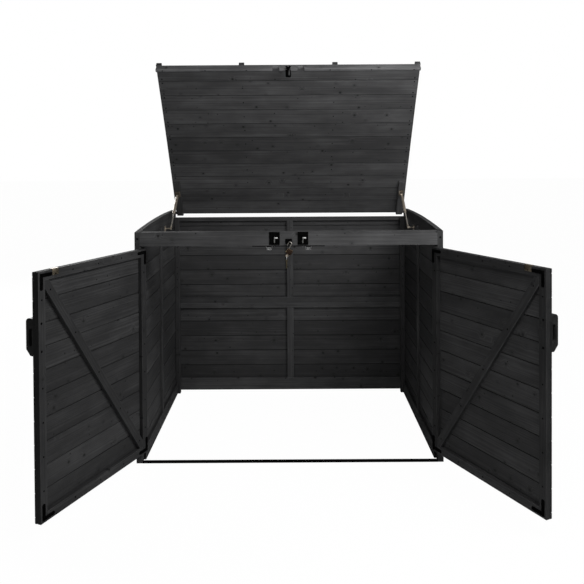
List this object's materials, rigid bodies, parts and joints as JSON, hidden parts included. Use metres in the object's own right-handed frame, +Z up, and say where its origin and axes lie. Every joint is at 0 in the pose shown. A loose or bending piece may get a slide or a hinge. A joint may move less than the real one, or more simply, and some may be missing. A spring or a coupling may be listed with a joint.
{
  "type": "wheelie bin store",
  "caption": "Outdoor timber store for wheelie bins with twin braced gates, a bowed lid on gas struts, drop bolts and a padlocked hasp",
  "frame": {"origin": "middle of the underside of the threshold bar, on the ground", "axes": "+X to the right seen from the gates, +Y into the store, +Z up"},
  "size_m": [2.1749, 1.8124, 2.0916],
  "materials": {
    "black_stained_timber": "near black stain on softwood with the grain showing",
    "black_steel": "black powder coat",
    "zinc_steel": "bright zinc plate",
    "bronze_steel": "yellow passivated zinc",
    "polished_rod": "ground and polished",
    "grey_plastic": "pale grey moulding",
    "brass": "dulled brass"
  },
  "bodies": {
    "carcass": {"left_side_boards": "black_stained_timber", "right_side_boards": "black_stained_timber", "left_front_post": "black_stained_timber", "right_front_post": "black_stained_timber", "left_rear_post": "black_stained_timber", "right_rear_post": "black_stained_timber", "left_arch_trim": "black_stained_timber", "right_arch_trim": "black_stained_timber", "left_side_framing": "black_stained_timber", "right_side_framing": "black_stained_timber", "back_boards": "black_stained_timber", "back_top_rail": "black_stained_timber", "back_middle_rails": "black_stained_timber", "back_bottom_rail": "black_stained_timber", "back_centre_stiles": "black_stained_timber", "back_corner_posts": "black_stained_timber", "front_rail": "black_stained_timber", "threshold_bar": "black_steel", "bolt_guide_strip": "zinc_steel", "bolt_plates": "black_steel", "magnetic_catches": "grey_plastic", "hasp_staple": "black_steel", "post_hinge_leaves": "black_steel", "lid_pivot_bolts": "zinc_steel", "strut_lower_brackets": "bronze_steel"},
    "left_gate": {"left_gate_boards": "black_stained_timber", "left_gate_stiles": "black_stained_timber", "left_gate_rails": "black_stained_timber", "left_gate_brace": "black_stained_timber", "left_gate_corner_plates": "black_steel", "left_gate_catch_plate": "bronze_steel", "left_gate_handle": "black_steel", "left_gate_hinge_leaves": "black_steel"},
    "right_gate": {"right_gate_boards": "black_stained_timber", "right_gate_stiles": "black_stained_timber", "right_gate_rails": "black_stained_timber", "right_gate_brace": "black_stained_timber", "right_gate_corner_plates": "black_steel", "right_gate_catch_plate": "bronze_steel", "right_gate_handle": "black_steel", "right_gate_hinge_leaves": "black_steel"},
    "lid": {"lid_boards": "black_stained_timber", "lid_fascia": "black_stained_timber", "lid_battens": "black_stained_timber", "lid_corner_blocks": "black_stained_timber", "strut_upper_brackets": "bronze_steel", "hasp_leaf": "black_steel"},
    "hasp": {"hasp_strap": "black_steel"},
    "left_cylinder": {"left_strut_cylinder": "black_steel"},
    "right_cylinder": {"right_strut_cylinder": "black_steel"},
    "left_rod": {"left_strut_rod": "polished_rod"},
    "right_rod": {"right_strut_rod": "polished_rod"},
    "left_slide_bolt": {"left_bolt": "zinc_steel"},
    "right_slide_bolt": {"right_bolt": "zinc_steel"},
    "padlock": {"padlock_body": "brass", "padlock_shackle": "zinc_steel", "padlock_key": "brass"},
    "keys": {"key_ring": "zinc_steel", "spare_key": "brass"}
  },
  "joints": [
    {"name": "lid_hinge", "type": "hinge", "parent": "carcass", "child": "lid", "pos_m": [0, 1.039, 1.185], "axis": [-1, 0, 0], "range_deg": [-55.3, 0]},
    {"name": "left_gate_hinge", "type": "hinge", "parent": "carcass", "child": "left_gate", "pos_m": [-0.75, -0.019, 0.583], "axis": [0, 0, -1], "range_deg": [-112.6, 57.4]},
    {"name": "right_gate_hinge", "type": "hinge", "parent": "carcass", "child": "right_gate", "pos_m": [0.75, -0.019, 0.583], "axis": [0, 0, 1], "range_deg": [-115.9, 54.1]},
    {"name": "hasp_hinge", "type": "hinge", "parent": "lid", "child": "hasp", "pos_m": [0, 0.38184, 2.05002], "axis": [-1, 0, 0], "range_deg": [0, 135.31]},
    {"name": "left_strut_pivot", "type": "hinge", "parent": "lid", "child": "left_cylinder", "pos_m": [-0.72, 0.9255, 1.30401], "axis": [-1, 0, 0], "range_deg": [0, 80.76]},
    {"name": "left_strut_slide", "type": "slide", "parent": "left_cylinder", "child": "left_rod", "axis": [0, 0.8014, 0.5982], "range_m": [0, 0.10617]},
    {"name": "right_strut_pivot", "type": "hinge", "parent": "lid", "child": "right_cylinder", "pos_m": [0.72, 0.9255, 1.30401], "axis": [-1, 0, 0], "range_deg": [0, 80.76]},
    {"name": "right_strut_slide", "type": "slide", "parent": "right_cylinder", "child": "right_rod", "axis": [0, 0.8014, 0.5982], "range_m": [0, 0.10617]},
    {"name": "left_bolt_slide", "type": "slide", "parent": "carcass", "child": "left_slide_bolt", "axis": [0, 0, -1], "range_m": [0, 0.022]},
    {"name": "right_bolt_slide", "type": "slide", "parent": "carcass", "child": "right_slide_bolt", "axis": [0, 0, -1], "range_m": [0, 0.022]},
    {"name": "padlock_swing", "type": "hinge", "parent": "carcass", "child": "padlock", "pos_m": [0.002, -0.029, 1.12], "axis": [-1, 0, 0], "range_deg": [0, 45]},
    {"name": "keys_swing", "type": "hinge", "parent": "padlock", "child": "keys", "pos_m": [-0.011, -0.029, 1.05248], "axis": [-1, 0, 0], "range_deg": [0, 30]}
  ],
  "couplings": [
    {"joint": "hasp_hinge", "follows": "lid_hinge", "ratio": -2.4466},
    {"joint": "left_strut_pivot", "follows": "lid_hinge", "ratio": -1.4602},
    {"joint": "left_strut_slide", "follows": "lid_hinge", "m_per_rad": -0.10999},
    {"joint": "right_strut_pivot", "follows": "lid_hinge", "ratio": -1.4602},
    {"joint": "right_strut_slide", "follows": "lid_hinge", "m_per_rad": -0.10999}
  ]
}
